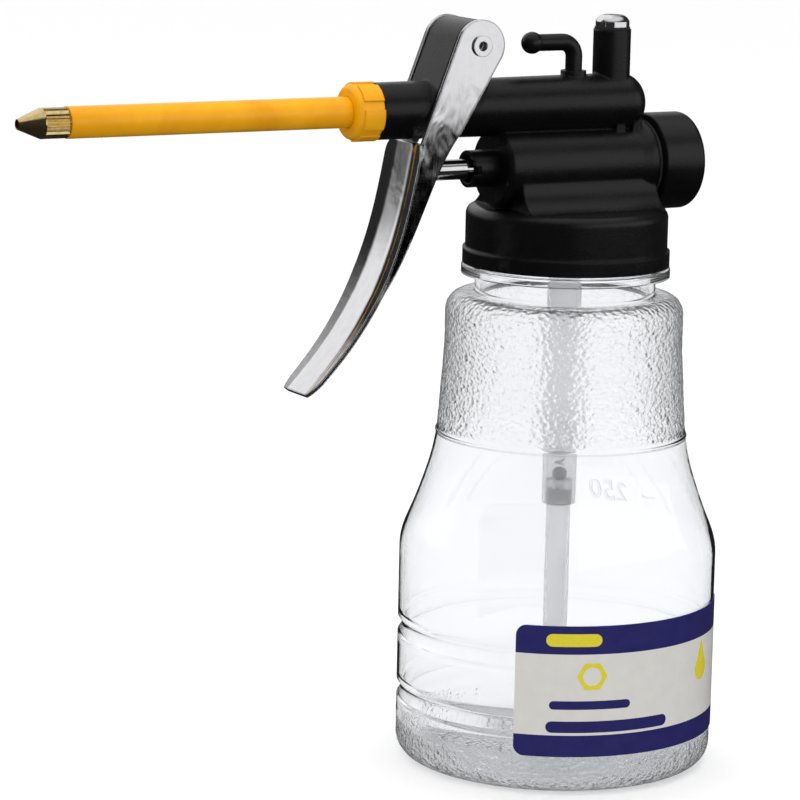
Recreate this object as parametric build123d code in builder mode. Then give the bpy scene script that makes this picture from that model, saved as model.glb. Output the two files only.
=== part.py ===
from build123d import *
from math import acos, atan2, cos, hypot, pi, radians, sin
import os

# A hand-held trigger oiler: a clear bottle, a moulded pump head that screws on to it, a pressed
# steel lever that drives a plunger, and a long nozzle with a turned tip.
# Millimetres. The origin is the middle of the bottle's underside, +Z is up, and the nozzle
# points along -X. Everything is symmetric about the plane Y = 0 except the label.

os.makedirs("parts", exist_ok=True)

# ---------------------------------------------------------------- clearances
running_gap = 0.05      # a pin, rod or spigot that turns or slides in its hole
loose_gap = 0.2         # a thread that is drawn plain, and faces that pass each other
seat_gap = 0.02         # a seal, ball or spring against the face it rests on
cut_overrun = 1.0       # how far a cut runs on past the open end of what it cuts

# ---------------------------------------------------------------- bottle
bottle_radius = 37.5
bottle_wall = 1.2
base_corner = 5.0
base_ring_width = 5.0
base_pad_radius = 12.0
base_recess_depth = 0.45
belly_height = 50.5
groove_heights = (16.0, 31.5)
groove_half_width = 2.2
groove_depth = 0.9
flare_height = 28.1      # from the belly to the seam
seam_height = belly_height + flare_height
neck_radius = 21.2
upper_radius = neck_radius + 6.8
seam_radius = upper_radius + 1.4
seam_ridge = 0.3
upper_taper_end = 8.0    # below the shoulder's arc
flare_knots = ((0.27, 8.2), (0.70, 17.6))    # share of the step inwards, height over the belly
flare_end_run = (-0.14, 1)
upper_length = 33.0      # from the seam to the shoulder
shoulder_height = seam_height + upper_length
shoulder_round = 4.2
flange_height = shoulder_height + 4.5
flange_thickness = 1.8
flange_radius = neck_radius + 3.3
thread_crest = 0.6
thread_width = 1.2
thread_heights = (flange_height + 4.7, flange_height + 8.1)
rim_height = flange_height + 11.4

# ---------------------------------------------------------------- label
label_thickness = 0.2
label_low = 9.3
label_high = 40.2
label_from = -45.0      # degrees round the bottle, from -Y towards +X
label_to = 62.0
label_corner = 2.5

# ---------------------------------------------------------------- screw cap part of the head
gasket_thickness = 1.5
gasket_overhang = 1.2    # how far it reaches inside the neck
cap_wall = 1.7
cap_radius = neck_radius + thread_crest + loose_gap + cap_wall
cap_roof = 3.2
cap_round = 2.2
cap_to_flange = 0.7
cap_low = flange_height + flange_thickness + cap_to_flange
cap_roof_under = rim_height + gasket_thickness
cap_top = cap_roof_under + cap_roof
band_radius = cap_radius + 0.6
band_height = 3.6

# ---------------------------------------------------------------- pump barrel
barrel_height = cap_top + 9.6
barrel_radius = 9.4
barrel_front = -20.9
barrel_front_wall = 2.5
barrel_chamfer = 1.0
barrel_shoulder = 19.0
flare_radius = barrel_radius + 0.7
flare_length = 1.6
flare_run = 2.4
bore_radius = 6.2
barrel_neck_radius = 8.9
barrel_neck_end = 27.6
saddle_half_width = 13.5
saddle_front = -17.5
saddle_back = 18.6
saddle_waist = 1.3       # how far its sides stand off the barrel at the waist
saddle_waist_height = 2.2
saddle_sink = 0.1        # how far it ends inside the barrel's skin

# ---------------------------------------------------------------- upper tube, lug and post
tube_height = barrel_height + 14.1
tube_front = -52.4
tube_front_radius = 6.5
tube_back_radius = 7.0
tube_back = 13.0
tube_dome = 5.7
tube_dome_flat = 2.4
tube_dome_knot = (0.68, 0.80)    # shares of the dome's length and of its radius
channel_radius = 1.5
spigot_radius = 5.0
spigot_length = 2.8
pivot_x = -28.9
pivot_height = tube_height + 14.9
lug_radius = 5.8
lug_half_width = 6.6
lug_heel_step = 1.0      # its foot ends this far behind the pin
post_x = 10.9
post_radius = 4.4
post_top = tube_height + 17.3
post_bore = 2.6
rib_thickness = 2.4
rib_half_width = 5.4
rib_places = (-4.5, 0.0)    # from the back of the post
rib_top_step = 1.5

# ---------------------------------------------------------------- plunger and its gland
rod_radius = 2.35
rod_front = -43.8
rod_neck_radius = 1.5
rod_end_reach = 0.8      # past the nut
rod_nose_length = 1.5
rod_nose_knot = (0.35, 0.62)    # distance from the end, share of the radius
piston_front = -17.9
piston_length = 5.0
piston_gap = 0.06
nut_length = 2.0
nut_across_flats = 5.5
piston_ring_radius = 0.8
gland_front = -27.3
gland_radius = 4.3
gland_spigot_radius = 3.2
gland_recess_radius = 3.3
gland_recess_depth = 3.0
gland_notch_width = 2.0
gland_notch_depth = 1.5
wiper_thickness = 1.4
return_wire = 1.0
return_coil_radius = 4.9
return_turns = 9

# ---------------------------------------------------------------- rear cap
rear_cap_front = 20.2
rear_cap_back = 31.4
rear_cap_radius = flare_radius + 1.3
rear_cap_wall = 3.2
rear_cap_round = 1.8
rear_cap_bevel = 0.3
rear_ring_radius = 0.5

# ---------------------------------------------------------------- outlet valve
outlet_duct_radius = 1.2
outlet_seat_height = tube_height - 4.3
outlet_ball_radius = 2.0
outlet_lift = 1.5
outlet_wire = 0.5
outlet_turns = 6
outlet_spring_radius = 1.7
screw_tip_height = post_top - 8.2
screw_head_radius = 3.95
screw_head_height = 2.8
screw_recess_width = 0.9
screw_recess_span = 4.4
screw_recess_depth = 1.5
washer_thickness = 0.5
washer_margin = 0.2      # how far it shows round the head
screw_tip_bevel = 0.4
screw_rim_share = 0.45   # of the head's height
screw_dome_knot = (0.24, 0.87)    # shares of the head's radius and height
screw_dome_flat = 0.35   # share of the head's radius

# ---------------------------------------------------------------- shut-off handle
handle_x = 0.6
handle_radius = 1.97
handle_foot = tube_height - 4.0
handle_arm_height = tube_height + 14.5
handle_bend = 3.4
handle_reach = 11.4
handle_ball_radius = 2.55
handle_port_radius = 1.4
handle_boss_radius = 3.0
handle_boss_height = 0.9
handle_ring_height = tube_height + 4.5
handle_ring_radius = 0.35

# ---------------------------------------------------------------- nozzle, collar and tip
nozzle_radius = 3.55
nozzle_bore = 1.5
nozzle_flange_radius = 4.85
nozzle_flange_thickness = 1.3
nozzle_gasket_thickness = 0.8
nozzle_front = -127.8
collar_radius = 6.35
collar_pad = 0.4
collar_pad_count = 6
collar_pad_angle = 42.0
collar_wall = 1.6
collar_round = 1.4
tip_knurl_length = 6.1
tip_cone_length = 5.4
tip_radius = 3.4
tip_end_radius = 1.15
tip_bore = 0.9
tip_mouth_length = 2.0
tip_feed_bore = 0.6
tip_spigot_radius = 2.2
tip_spigot_length = 7.5
knurl_count = 22
knurl_depth = 0.32
knurl_margin = 0.3

# ---------------------------------------------------------------- suction tubes and foot valve
valve_tube_radius = 4.0
valve_tube_bore = 3.2
valve_tube_low = 61.0
socket_floor = 1.6       # under the cap's roof
valve_tube_top = cap_roof_under - socket_floor
socket_radius = 6.2
socket_low = valve_tube_top - 5.9
feed_duct_radius = 1.5
suction_tube_radius = 2.9
suction_tube_bore = 2.1
suction_tube_low = 3.6
suction_tube_top = valve_tube_low + 4.0
foot_seat_top = valve_tube_low + 6.0
foot_port_radius = 1.1
foot_ball_radius = 1.75
foot_lift = 1.6
foot_wire = 0.4
foot_spring_radius = 1.2
foot_turns = 5
foot_spring_top = foot_seat_top + 12.2
stop_thickness = 1.6
stop_bore = 1.1

# ---------------------------------------------------------------- lever
lever_half_width = 8.3
sheet = 1.1
lever_eye_radius = 6.0
pin_radius = 1.75
pin_head_radius = 2.4
pin_head_thickness = 0.6
pin_socket_radius = 1.1
pin_socket_depth = 2.0
web_top = (pivot_x - 14.3, pivot_height - 21.9)
lever_corner = 4.5
lever_reach = 100.0      # more than the lever's depth along X

along_x = Axis((0, 0, tube_height), (1, 0, 0))
barrel_axis = Axis((0, 0, barrel_height), (1, 0, 0))


def save(piece, name):
    """Label a finished piece and write it as its own STEP file."""
    piece.part.label = name
    export_step(piece.part, f"parts/{name}.step")


def corner_of(centre, radius, angle):
    """The point of a circle at an angle in degrees."""
    return (centre[0] + radius * cos(radians(angle)), centre[1] + radius * sin(radians(angle)))


def touch_point(centre, radius, outside, side):
    """Where a line from a point outside a circle touches it; side is -1 or 1."""
    run = hypot(outside[0] - centre[0], outside[1] - centre[1])
    angle = atan2(outside[1] - centre[1], outside[0] - centre[0]) + side * acos(radius / run)
    return (centre[0] + radius * cos(angle), centre[1] + radius * sin(angle))


def bottle_outline(inset, top):
    """Closed half outline of the bottle body, shrunk by inset all round, up to a flat top."""
    corner = (bottle_radius - base_corner, base_corner)
    shoulder = (upper_radius - shoulder_round, shoulder_height - shoulder_round)
    side = bottle_radius - inset
    Line((0, inset), (corner[0], inset))
    ThreePointArc(
        (corner[0], inset),
        corner_of(corner, base_corner - inset, -45),
        (side, corner[1]),
    )
    low = corner[1]
    for middle in groove_heights:
        Line((side, low), (side, middle - groove_half_width))
        ThreePointArc(
            (side, middle - groove_half_width),
            (side - groove_depth, middle),
            (side, middle + groove_half_width),
        )
        low = middle + groove_half_width
    Line((side, low), (side, belly_height))
    Spline(
        (side, belly_height),
        *((side - (bottle_radius - seam_radius) * share, belly_height + rise) for share, rise in flare_knots),
        (seam_radius - inset, seam_height),
        tangents=[(0, 1), flare_end_run],
    )
    Line((seam_radius - inset, seam_height), (upper_radius - inset, shoulder[1] - upper_taper_end))
    Line((upper_radius - inset, shoulder[1] - upper_taper_end), (upper_radius - inset, shoulder[1]))
    ThreePointArc(
        (upper_radius - inset, shoulder[1]),
        corner_of(shoulder, shoulder_round - inset, 45),
        (shoulder[0], shoulder_height - inset),
    )
    Line((shoulder[0], shoulder_height - inset), (neck_radius - inset, shoulder_height - inset))
    Line((neck_radius - inset, shoulder_height - inset), (neck_radius - inset, top))
    Line((neck_radius - inset, top), (0, top))
    Line((0, top), (0, inset))


# ================================================================ bottle
with BuildPart() as bottle:
    with BuildSketch(Plane.XZ):
        with BuildLine():
            bottle_outline(0, rim_height)
        make_face()
    revolve(axis=Axis.Z)
    with BuildSketch(Plane.XZ):
        with BuildLine():
            Polyline(
                (neck_radius - bottle_wall / 2, flange_height),
                (flange_radius, flange_height),
                (flange_radius, flange_height + flange_thickness),
                (neck_radius - bottle_wall / 2, flange_height + flange_thickness),
                close=True,
            )
        make_face()
        for height in thread_heights:
            with BuildLine():
                Polyline(
                    (neck_radius - bottle_wall / 2, height - thread_width / 2),
                    (neck_radius, height - thread_width / 2),
                    (neck_radius + thread_crest, height - thread_width / 4),
                    (neck_radius + thread_crest, height + thread_width / 4),
                    (neck_radius, height + thread_width / 2),
                    (neck_radius - bottle_wall / 2, height + thread_width / 2),
                    close=True,
                )
            make_face()
        with Locations((seam_radius, seam_height)):
            Circle(seam_ridge)
    revolve(axis=Axis.Z)
    with BuildSketch(Plane.XZ):
        with BuildLine():
            bottle_outline(bottle_wall, rim_height + cut_overrun)
        make_face()
    revolve(axis=Axis.Z, mode=Mode.SUBTRACT)
    with BuildSketch(Plane.XY):
        Circle(bottle_radius - base_corner - base_ring_width)
        Circle(base_pad_radius, mode=Mode.SUBTRACT)
    extrude(amount=base_recess_depth, mode=Mode.SUBTRACT)
save(bottle, "bottle")

# ================================================================ label
label_inner = bottle_radius + seat_gap
with BuildPart() as bottle_label:
    with BuildSketch(Plane.XZ.rotated((0, 0, label_from - 90))):
        with Locations((label_inner + label_thickness / 2, (label_low + label_high) / 2)):
            Rectangle(label_thickness, label_high - label_low)
    revolve(axis=Axis.Z, revolution_arc=label_to - label_from)
    short_edges = bottle_label.edges().filter_by(lambda edge: abs(edge.length - label_thickness) < 1e-4)
    fillet(short_edges, radius=label_corner)
save(bottle_label, "bottle_label")

# ================================================================ gasket in the cap
with BuildPart() as neck_gasket:
    with BuildSketch(Plane.XY.offset(rim_height)):
        Circle(neck_radius - loose_gap)
        Circle(neck_radius - bottle_wall - gasket_overhang, mode=Mode.SUBTRACT)
    extrude(amount=gasket_thickness)
save(neck_gasket, "neck_gasket")

# ================================================================ pump head
eye = (pivot_x, pivot_height)
arm_front = (web_top[0] - sheet / 2, web_top[1])
lug_front = touch_point(eye, lug_radius, arm_front, -1)
lug_slope = (lug_front[0] - arm_front[0]) / (lug_front[1] - arm_front[1])
lug_foot = (lug_front[0] - (lug_front[1] - tube_height) * lug_slope, tube_height)
lug_heel = (pivot_x + lug_heel_step, tube_height)
spigot_front = tube_front - spigot_length
thread_bore = neck_radius + thread_crest + loose_gap

with BuildPart() as pump_head:
    # screw cap with its skirt band
    with BuildSketch(Plane.XY.offset(cap_low)):
        Circle(cap_radius)
    extrude(amount=cap_top - cap_low)
    fillet(pump_head.edges().group_by(Axis.Z)[-1], radius=cap_round)
    with BuildSketch(Plane.XY.offset(cap_low)):
        Circle(band_radius)
    extrude(amount=band_height)
    # saddle that carries the barrel on the cap
    with BuildSketch(Plane.YZ.offset(saddle_front)):
        with BuildLine():
            Polyline(
                (-saddle_half_width, cap_top - cap_roof / 2),
                (saddle_half_width, cap_top - cap_roof / 2),
                (saddle_half_width, cap_top),
            )
            ThreePointArc(
                (saddle_half_width, cap_top),
                (barrel_radius + saddle_waist, cap_top + saddle_waist_height),
                (barrel_radius - saddle_sink, barrel_height),
            )
            Line((barrel_radius - saddle_sink, barrel_height), (saddle_sink - barrel_radius, barrel_height))
            ThreePointArc(
                (saddle_sink - barrel_radius, barrel_height),
                (-barrel_radius - saddle_waist, cap_top + saddle_waist_height),
                (-saddle_half_width, cap_top),
            )
            Line((-saddle_half_width, cap_top), (-saddle_half_width, cap_top - cap_roof / 2))
        make_face()
    extrude(amount=saddle_back - saddle_front)
    # scallop in the cap's roof that lets the rear cap turn
    with BuildSketch(Plane.YZ.offset(barrel_shoulder)):
        with Locations((0, barrel_height)):
            Circle(rear_cap_radius + loose_gap)
    extrude(amount=cap_radius, mode=Mode.SUBTRACT)
    # barrel, its flared rim and the neck that the rear cap screws on to
    with BuildSketch(Plane.XZ):
        with BuildLine():
            Polyline(
                (barrel_front, barrel_height),
                (barrel_front, barrel_height + barrel_radius - barrel_chamfer),
                (barrel_front + barrel_chamfer, barrel_height + barrel_radius),
                (barrel_shoulder - flare_length - flare_run, barrel_height + barrel_radius),
                (barrel_shoulder - flare_length, barrel_height + flare_radius),
                (barrel_shoulder, barrel_height + flare_radius),
                (barrel_shoulder, barrel_height + barrel_neck_radius),
                (barrel_neck_end, barrel_height + barrel_neck_radius),
                (barrel_neck_end, barrel_height),
                close=True,
            )
        make_face()
    revolve(axis=barrel_axis)
    # upper tube with its domed end and threaded spigot
    with BuildSketch(Plane.XZ):
        with BuildLine():
            Polyline(
                (tube_back + tube_dome, tube_height),
                (spigot_front, tube_height),
                (spigot_front, tube_height + spigot_radius),
                (tube_front, tube_height + spigot_radius),
                (tube_front, tube_height + tube_front_radius),
                (tube_back, tube_height + tube_back_radius),
            )
            ThreePointArc(
                (tube_back, tube_height + tube_back_radius),
                (tube_back + tube_dome_knot[0] * tube_dome, tube_height + tube_dome_knot[1] * tube_back_radius),
                (tube_back + tube_dome, tube_height + tube_dome_flat),
            )
            Line(
                (tube_back + tube_dome, tube_height + tube_dome_flat),
                (tube_back + tube_dome, tube_height),
            )
        make_face()
    revolve(axis=along_x)
    # ribs between barrel and tube, near the back
    with BuildSketch(Plane.XY.offset(barrel_height)):
        for place in rib_places:
            with Locations((post_x + post_radius + place, 0)):
                Rectangle(rib_thickness, 2 * rib_half_width)
    extrude(amount=tube_height - barrel_height - rib_top_step)
    # lug that carries the lever's pin
    with BuildSketch(Plane.XZ):
        with Locations((pivot_x, pivot_height)):
            Circle(lug_radius)
        with BuildLine():
            Polyline(lug_front, lug_foot, lug_heel, touch_point(eye, lug_radius, lug_heel, 1), eye, close=True)
        make_face()
    extrude(amount=lug_half_width, both=True)
    # post over the outlet valve, and the boss round the handle's stem
    with BuildSketch(Plane.XY.offset(tube_height)):
        with Locations((post_x, 0)):
            Circle(post_radius)
    extrude(amount=post_top - tube_height)
    with BuildSketch(Plane.XY.offset(tube_height)):
        with Locations((handle_x, 0)):
            Circle(handle_boss_radius)
    extrude(amount=tube_back_radius + handle_boss_height)
    # hollow of the cap, with the socket for the suction tube standing in it
    with BuildSketch(Plane.XY.offset(cap_low)):
        Circle(thread_bore)
    extrude(amount=cap_roof_under - cap_low, mode=Mode.SUBTRACT)
    with BuildSketch(Plane.XY.offset(socket_low)):
        Circle(socket_radius)
    extrude(amount=cap_roof_under - socket_low + cap_roof / 2)
    with BuildSketch(Plane.XY.offset(socket_low)):
        Circle(valve_tube_radius + running_gap)
    extrude(amount=valve_tube_top + seat_gap - socket_low, mode=Mode.SUBTRACT)
    with BuildSketch(Plane.XY.offset(socket_low)):
        Circle(feed_duct_radius)
    extrude(amount=barrel_height - socket_low, mode=Mode.SUBTRACT)
    # bore of the barrel and the hole for the gland
    with BuildSketch(Plane.YZ.offset(barrel_front + barrel_front_wall)):
        with Locations((0, barrel_height)):
            Circle(bore_radius)
    extrude(amount=barrel_neck_end - barrel_front - barrel_front_wall, mode=Mode.SUBTRACT)
    with BuildSketch(Plane.YZ.offset(barrel_front)):
        with Locations((0, barrel_height)):
            Circle(gland_spigot_radius + running_gap)
    extrude(amount=barrel_front_wall, mode=Mode.SUBTRACT)
    # outlet duct, valve chamber and the channel to the nozzle
    with BuildSketch(Plane.XY.offset(barrel_height)):
        with Locations((post_x, 0)):
            Circle(outlet_duct_radius)
    extrude(amount=outlet_seat_height - barrel_height, mode=Mode.SUBTRACT)
    with BuildSketch(Plane.XY.offset(outlet_seat_height)):
        with Locations((post_x, 0)):
            Circle(post_bore)
    extrude(amount=post_top - outlet_seat_height, mode=Mode.SUBTRACT)
    with BuildSketch(Plane.YZ.offset(spigot_front)):
        with Locations((0, tube_height)):
            Circle(channel_radius)
    extrude(amount=post_x - spigot_front, mode=Mode.SUBTRACT)
    # hole for the handle's stem and hole for the lever's pin
    with BuildSketch(Plane.XY.offset(handle_foot - loose_gap)):
        with Locations((handle_x, 0)):
            Circle(handle_radius + running_gap)
    extrude(amount=tube_height, mode=Mode.SUBTRACT)
    with BuildSketch(Plane.XZ):
        with Locations((pivot_x, pivot_height)):
            Circle(pin_radius + running_gap)
    extrude(amount=lug_half_width, both=True, mode=Mode.SUBTRACT)
save(pump_head, "pump_head")

# ================================================================ gland, wiper and plunger
with BuildPart() as rod_gland:
    with BuildSketch(Plane.XZ):
        with BuildLine():
            rod_hole = barrel_height + rod_radius + running_gap
            Polyline(
                (gland_front, barrel_height + gland_recess_radius),
                (gland_front, barrel_height + gland_radius),
                (barrel_front - seat_gap, barrel_height + gland_radius),
                (barrel_front - seat_gap, barrel_height + gland_spigot_radius),
                (barrel_front + barrel_front_wall - seat_gap, barrel_height + gland_spigot_radius),
                (barrel_front + barrel_front_wall - seat_gap, rod_hole),
                (gland_front + gland_recess_depth, rod_hole),
                (gland_front + gland_recess_depth, barrel_height + gland_recess_radius),
                close=True,
            )
        make_face()
    revolve(axis=barrel_axis)
    with BuildSketch(Plane.YZ.offset(gland_front)):
        with Locations((0, barrel_height)):
            Rectangle(2 * gland_radius, gland_notch_width)
    extrude(amount=gland_notch_depth, mode=Mode.SUBTRACT)
save(rod_gland, "rod_gland")

with BuildPart() as rod_wiper:
    with BuildSketch(Plane.YZ.offset(gland_front + gland_recess_depth - seat_gap)):
        with Locations((0, barrel_height)):
            Circle(gland_recess_radius - running_gap)
            Circle(rod_radius + running_gap, mode=Mode.SUBTRACT)
    extrude(amount=-wiper_thickness)
save(rod_wiper, "rod_wiper")

piston_back = piston_front + piston_length
rod_end = piston_back + nut_length + rod_end_reach
with BuildPart() as plunger_rod:
    with BuildSketch(Plane.XZ):
        with BuildLine():
            ThreePointArc(
                (rod_front, barrel_height),
                (rod_front + rod_nose_knot[0], barrel_height + rod_nose_knot[1] * rod_radius),
                (rod_front + rod_nose_length, barrel_height + rod_radius),
            )
            Polyline(
                (rod_front + rod_nose_length, barrel_height + rod_radius),
                (piston_front, barrel_height + rod_radius),
                (piston_front, barrel_height + rod_neck_radius),
                (rod_end, barrel_height + rod_neck_radius),
                (rod_end, barrel_height),
                (rod_front, barrel_height),
            )
        make_face()
    revolve(axis=barrel_axis)
save(plunger_rod, "plunger_rod")

ring_groove_depth = 2 * piston_ring_radius + seat_gap
ring_place = piston_front + piston_length / 2
with BuildPart() as piston:
    with BuildSketch(Plane.YZ.offset(piston_front + seat_gap)):
        with Locations((0, barrel_height)):
            Circle(bore_radius - piston_gap)
            Circle(rod_neck_radius + running_gap, mode=Mode.SUBTRACT)
    extrude(amount=piston_length - 2 * seat_gap)
    with BuildSketch(Plane.YZ.offset(ring_place - piston_ring_radius - running_gap)):
        with Locations((0, barrel_height)):
            Circle(bore_radius)
            Circle(bore_radius - ring_groove_depth, mode=Mode.SUBTRACT)
    extrude(amount=2 * (piston_ring_radius + running_gap), mode=Mode.SUBTRACT)
save(piston, "piston")

with BuildPart() as piston_ring:
    with BuildSketch(Plane.XZ):
        with Locations((ring_place, barrel_height + bore_radius - piston_ring_radius - seat_gap)):
            Circle(piston_ring_radius - seat_gap)
    revolve(axis=barrel_axis)
save(piston_ring, "piston_ring")

with BuildPart() as piston_nut:
    with BuildSketch(Plane.YZ.offset(piston_back)):
        with Locations((0, barrel_height)):
            RegularPolygon(radius=nut_across_flats / 2, side_count=6, major_radius=False)
            Circle(rod_neck_radius + running_gap, mode=Mode.SUBTRACT)
    extrude(amount=nut_length)
save(piston_nut, "piston_nut")

rear_cap_floor = rear_cap_back - rear_cap_wall
with BuildPart() as return_spring:
    coil_start = piston_back + return_wire / 2 + seat_gap
    coil_length = rear_cap_floor - piston_back - return_wire - 2 * seat_gap
    with BuildLine() as coil_line:
        Helix(
            pitch=coil_length / return_turns,
            height=coil_length,
            radius=return_coil_radius,
            center=(coil_start, 0, barrel_height),
            direction=(1, 0, 0),
        )
    with BuildSketch(Plane(origin=coil_line.line @ 0, z_dir=coil_line.line % 0)):
        Circle(return_wire / 2)
    sweep(path=coil_line.line, is_frenet=True)
save(return_spring, "return_spring")

# ================================================================ rear cap and its sealing ring
with BuildPart() as rear_cap:
    with BuildSketch(Plane.XZ):
        with BuildLine():
            Polyline(
                (rear_cap_front, barrel_height + barrel_neck_radius + running_gap),
                (rear_cap_front, barrel_height + rear_cap_radius - rear_cap_bevel),
                (rear_cap_front + rear_cap_bevel, barrel_height + rear_cap_radius),
                (rear_cap_back - rear_cap_round, barrel_height + rear_cap_radius),
            )
            ThreePointArc(
                (rear_cap_back - rear_cap_round, barrel_height + rear_cap_radius),
                (
                    rear_cap_back - rear_cap_round * (1 - cos(pi / 4)),
                    barrel_height + rear_cap_radius - rear_cap_round * (1 - sin(pi / 4)),
                ),
                (rear_cap_back, barrel_height + rear_cap_radius - rear_cap_round),
            )
            Polyline(
                (rear_cap_back, barrel_height + rear_cap_radius - rear_cap_round),
                (rear_cap_back, barrel_height),
                (rear_cap_floor, barrel_height),
                (rear_cap_floor, barrel_height + barrel_neck_radius + running_gap),
                (rear_cap_front, barrel_height + barrel_neck_radius + running_gap),
            )
        make_face()
    revolve(axis=barrel_axis)
save(rear_cap, "rear_cap")

with BuildPart() as rear_cap_ring:
    ring_x = (barrel_shoulder + rear_cap_front) / 2
    with BuildSketch(Plane.XZ):
        with Locations((ring_x, barrel_height + barrel_neck_radius + rear_ring_radius + running_gap)):
            Circle(rear_ring_radius)
    revolve(axis=barrel_axis)
save(rear_cap_ring, "rear_cap_ring")

# ================================================================ outlet valve under its screw
ball_rise = (outlet_ball_radius**2 - outlet_duct_radius**2) ** 0.5
outlet_ball_height = outlet_seat_height + ball_rise + seat_gap
with BuildPart() as outlet_ball:
    with BuildSketch(Plane.XZ):
        with BuildLine():
            CenterArc((post_x, outlet_ball_height), outlet_ball_radius, -90, 180)
            Line(
                (post_x, outlet_ball_height + outlet_ball_radius),
                (post_x, outlet_ball_height - outlet_ball_radius),
            )
        make_face()
    revolve(axis=Axis((post_x, 0, 0), (0, 0, 1)))
save(outlet_ball, "outlet_ball")

with BuildPart() as outlet_spring:
    spring_low = outlet_ball_height + outlet_ball_radius + outlet_wire / 2 + seat_gap
    spring_length = screw_tip_height - outlet_wire / 2 - seat_gap - spring_low
    with BuildLine() as outlet_line:
        Helix(
            pitch=spring_length / outlet_turns,
            height=spring_length,
            radius=outlet_spring_radius,
            center=(post_x, 0, spring_low),
        )
    with BuildSketch(Plane(origin=outlet_line.line @ 0, z_dir=outlet_line.line % 0)):
        Circle(outlet_wire / 2)
    sweep(path=outlet_line.line, is_frenet=True)
save(outlet_spring, "outlet_spring")

with BuildPart() as screw_washer:
    with BuildSketch(Plane.XY.offset(post_top)):
        with Locations((post_x, 0)):
            Circle(screw_head_radius + washer_margin)
            Circle(post_bore + loose_gap, mode=Mode.SUBTRACT)
    extrude(amount=washer_thickness)
save(screw_washer, "screw_washer")

head_low = post_top + washer_thickness
head_top = head_low + screw_head_height
with BuildPart() as valve_screw:
    with BuildSketch(Plane.XZ):
        with BuildLine():
            shank = post_x + post_bore - running_gap
            rim = post_x + screw_head_radius
            Polyline(
                (post_x, screw_tip_height),
                (shank - screw_tip_bevel, screw_tip_height),
                (shank, screw_tip_height + screw_tip_bevel),
                (shank, head_low),
                (rim, head_low),
                (rim, head_low + screw_rim_share * screw_head_height),
            )
            ThreePointArc(
                (rim, head_low + screw_rim_share * screw_head_height),
                (rim - screw_dome_knot[0] * screw_head_radius, head_low + screw_dome_knot[1] * screw_head_height),
                (post_x + screw_dome_flat * screw_head_radius, head_top),
            )
            Polyline(
                (post_x + screw_dome_flat * screw_head_radius, head_top),
                (post_x, head_top),
                (post_x, screw_tip_height),
            )
        make_face()
    revolve(axis=Axis((post_x, 0, 0), (0, 0, 1)))
    with BuildSketch(Plane.XY.offset(head_top)):
        with Locations((post_x, 0)):
            Rectangle(screw_recess_span, screw_recess_width)
            Rectangle(screw_recess_width, screw_recess_span)
    extrude(amount=-screw_recess_depth, mode=Mode.SUBTRACT)
save(valve_screw, "valve_screw")

# ================================================================ shut-off handle
with BuildPart() as shutoff_handle:
    with BuildLine(Plane.XZ) as handle_line:
        FilletPolyline(
            (handle_x, handle_foot),
            (handle_x, handle_arm_height),
            (handle_x - handle_reach, handle_arm_height),
            radius=handle_bend,
        )
    with BuildSketch(Plane.XY.offset(handle_foot)):
        with Locations((handle_x, 0)):
            Circle(handle_radius)
    sweep(path=handle_line.line)
    with Locations((handle_x - handle_reach, 0, handle_arm_height)):
        Sphere(handle_ball_radius)
    with BuildSketch(Plane.YZ.offset(handle_x)):
        with Locations((0, tube_height)):
            Circle(handle_port_radius)
    extrude(amount=2 * handle_radius, both=True, mode=Mode.SUBTRACT)
    with BuildSketch(Plane.XY.offset(handle_ring_height - handle_ring_radius - running_gap)):
        with Locations((handle_x, 0)):
            Circle(handle_radius + 1)
            Circle(handle_radius - 2 * handle_ring_radius, mode=Mode.SUBTRACT)
    extrude(amount=2 * (handle_ring_radius + running_gap), mode=Mode.SUBTRACT)
save(shutoff_handle, "shutoff_handle")

with BuildPart() as shutoff_ring:
    with BuildSketch(Plane.XZ):
        with Locations((handle_x + handle_radius - handle_ring_radius + seat_gap, handle_ring_height)):
            Circle(handle_ring_radius - seat_gap)
    revolve(axis=Axis((handle_x, 0, 0), (0, 0, 1)))
save(shutoff_ring, "shutoff_ring")

# ================================================================ nozzle, its collar and gasket
nozzle_gasket_front = spigot_front - nozzle_gasket_thickness
nozzle_root = nozzle_gasket_front - seat_gap
nozzle_flange_front = nozzle_root - nozzle_flange_thickness
with BuildPart() as nozzle_gasket:
    with BuildSketch(Plane.YZ.offset(spigot_front)):
        with Locations((0, tube_height)):
            Circle(nozzle_flange_radius)
            Circle(channel_radius + loose_gap, mode=Mode.SUBTRACT)
    extrude(amount=-nozzle_gasket_thickness)
save(nozzle_gasket, "nozzle_gasket")

tip_socket = tip_spigot_radius + running_gap
with BuildPart() as nozzle_tube:
    with BuildSketch(Plane.XZ):
        with BuildLine():
            Polyline(
                (nozzle_root, tube_height + nozzle_bore),
                (nozzle_root, tube_height + nozzle_flange_radius),
                (nozzle_flange_front, tube_height + nozzle_flange_radius),
                (nozzle_flange_front, tube_height + nozzle_radius),
                (nozzle_front, tube_height + nozzle_radius),
                (nozzle_front, tube_height + tip_socket),
                (nozzle_front + tip_spigot_length + loose_gap, tube_height + tip_socket),
                (nozzle_front + tip_spigot_length + loose_gap, tube_height + nozzle_bore),
                close=True,
            )
        make_face()
    revolve(axis=along_x)
save(nozzle_tube, "nozzle_tube")

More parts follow.
